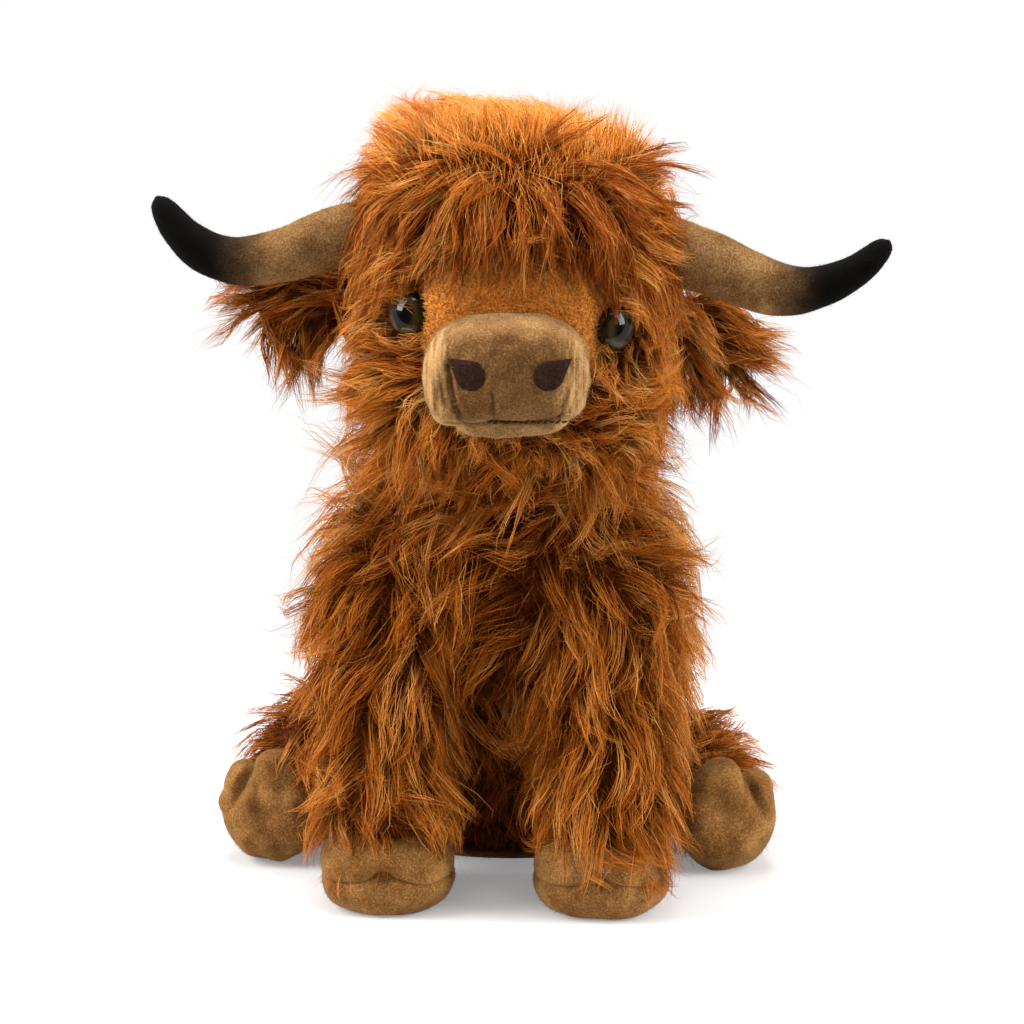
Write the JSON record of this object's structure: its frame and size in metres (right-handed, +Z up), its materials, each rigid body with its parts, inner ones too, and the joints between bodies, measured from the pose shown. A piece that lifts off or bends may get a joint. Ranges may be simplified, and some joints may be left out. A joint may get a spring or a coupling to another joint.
{
  "type": "stuffed toy cow",
  "caption": "Seated long-haired plush cow with jointed head, ears, legs and tail, stuffed horns and hooves, plastic eyes and a flat pellet-weighted seat.",
  "frame": {"origin": "middle of the flat seat panel's underside, on the surface the toy sits on", "axes": "+Z up, -Y the way the face looks, +X to the right in the picture (the toy's own left)"},
  "size_m": [0.2653, 0.2165, 0.2997],
  "materials": {
    "long_pile": "wavy long-pile plush",
    "crown_pile": "long straight-pile plush, lighter",
    "trimmed_pile": "trimmed pile",
    "tan_plush": "short-pile plush",
    "lining_plush": "short dark pile",
    "nostril_felt": "felt",
    "thread": "embroidery thread",
    "eye_plastic": "glossy, painted iris",
    "washer_plastic": "moulded",
    "panel_knit": "knitted base cloth",
    "pouch_cloth": "woven cloth"
  },
  "bodies": {
    "torso": {"torso": "long_pile", "pellet_pouch": "pouch_cloth", "seat_panel": "panel_knit"},
    "neck": {"neck": "long_pile"},
    "head": {"head": "long_pile", "crown_panel": "crown_pile", "face_panel": "trimmed_pile", "muzzle": "tan_plush", "lower_lip": "tan_plush", "nostril_left": "nostril_felt", "nostril_right": "nostril_felt", "mouth_seam": "thread", "eye_left": "eye_plastic", "eye_right": "eye_plastic", "eye_washer_left": "washer_plastic", "eye_washer_right": "washer_plastic", "horn_left": "tan_plush", "horn_right": "tan_plush"},
    "ear_left": {"ear_left": "long_pile", "ear_lining_left": "lining_plush"},
    "ear_right": {"ear_right": "long_pile", "ear_lining_right": "lining_plush"},
    "front_leg_left": {"front_leg_left": "long_pile", "front_hoof_left": "tan_plush", "front_sole_left": "tan_plush"},
    "front_leg_right": {"front_leg_right": "long_pile", "front_hoof_right": "tan_plush", "front_sole_right": "tan_plush"},
    "rear_leg_left": {"rear_leg_left": "long_pile", "rear_hoof_left": "tan_plush", "rear_sole_left": "tan_plush"},
    "rear_leg_right": {"rear_leg_right": "long_pile", "rear_hoof_right": "tan_plush", "rear_sole_right": "tan_plush"},
    "tail": {"tail": "long_pile", "tail_tuft": "long_pile"}
  },
  "joints": [
    {"name": "head_turn", "type": "hinge", "parent": "torso", "child": "neck", "pos_m": [0.0045, -0.042, 0.172], "axis": [0, 0, 1], "range_deg": [-20, 20]},
    {"name": "head_nod", "type": "hinge", "parent": "neck", "child": "head", "pos_m": [0.0045, -0.042, 0.172], "axis": [1, 0, 0], "range_deg": [-8, 8]},
    {"name": "ear_flop_left", "type": "hinge", "parent": "head", "child": "ear_left", "pos_m": [-0.05084, -0.032, 0.22548], "axis": [0, 1, 0], "range_deg": [-10, 20]},
    {"name": "ear_flop_right", "type": "hinge", "parent": "head", "child": "ear_right", "pos_m": [0.06594, -0.032, 0.21834], "axis": [0, -1, 0], "range_deg": [-10, 20]},
    {"name": "front_leg_swing_left", "type": "hinge", "parent": "torso", "child": "front_leg_left", "pos_m": [-0.042, -0.06, 0.116], "axis": [-1, 0, 0], "range_deg": [0, 30]},
    {"name": "front_leg_swing_right", "type": "hinge", "parent": "torso", "child": "front_leg_right", "pos_m": [0.042, -0.06, 0.116], "axis": [-1, 0, 0], "range_deg": [0, 30]},
    {"name": "rear_leg_splay_left", "type": "hinge", "parent": "torso", "child": "rear_leg_left", "pos_m": [-0.07, 0.01, 0.0305], "axis": [0, 0, -1], "range_deg": [0, 20]},
    {"name": "rear_leg_splay_right", "type": "hinge", "parent": "torso", "child": "rear_leg_right", "pos_m": [0.07, 0.01, 0.0305], "axis": [0, 0, 1], "range_deg": [0, 20]},
    {"name": "tail_swing", "type": "hinge", "parent": "torso", "child": "tail", "pos_m": [0, 0.04609, 0.058], "axis": [0, 1, 0], "range_deg": [-20, 20]}
  ]
}
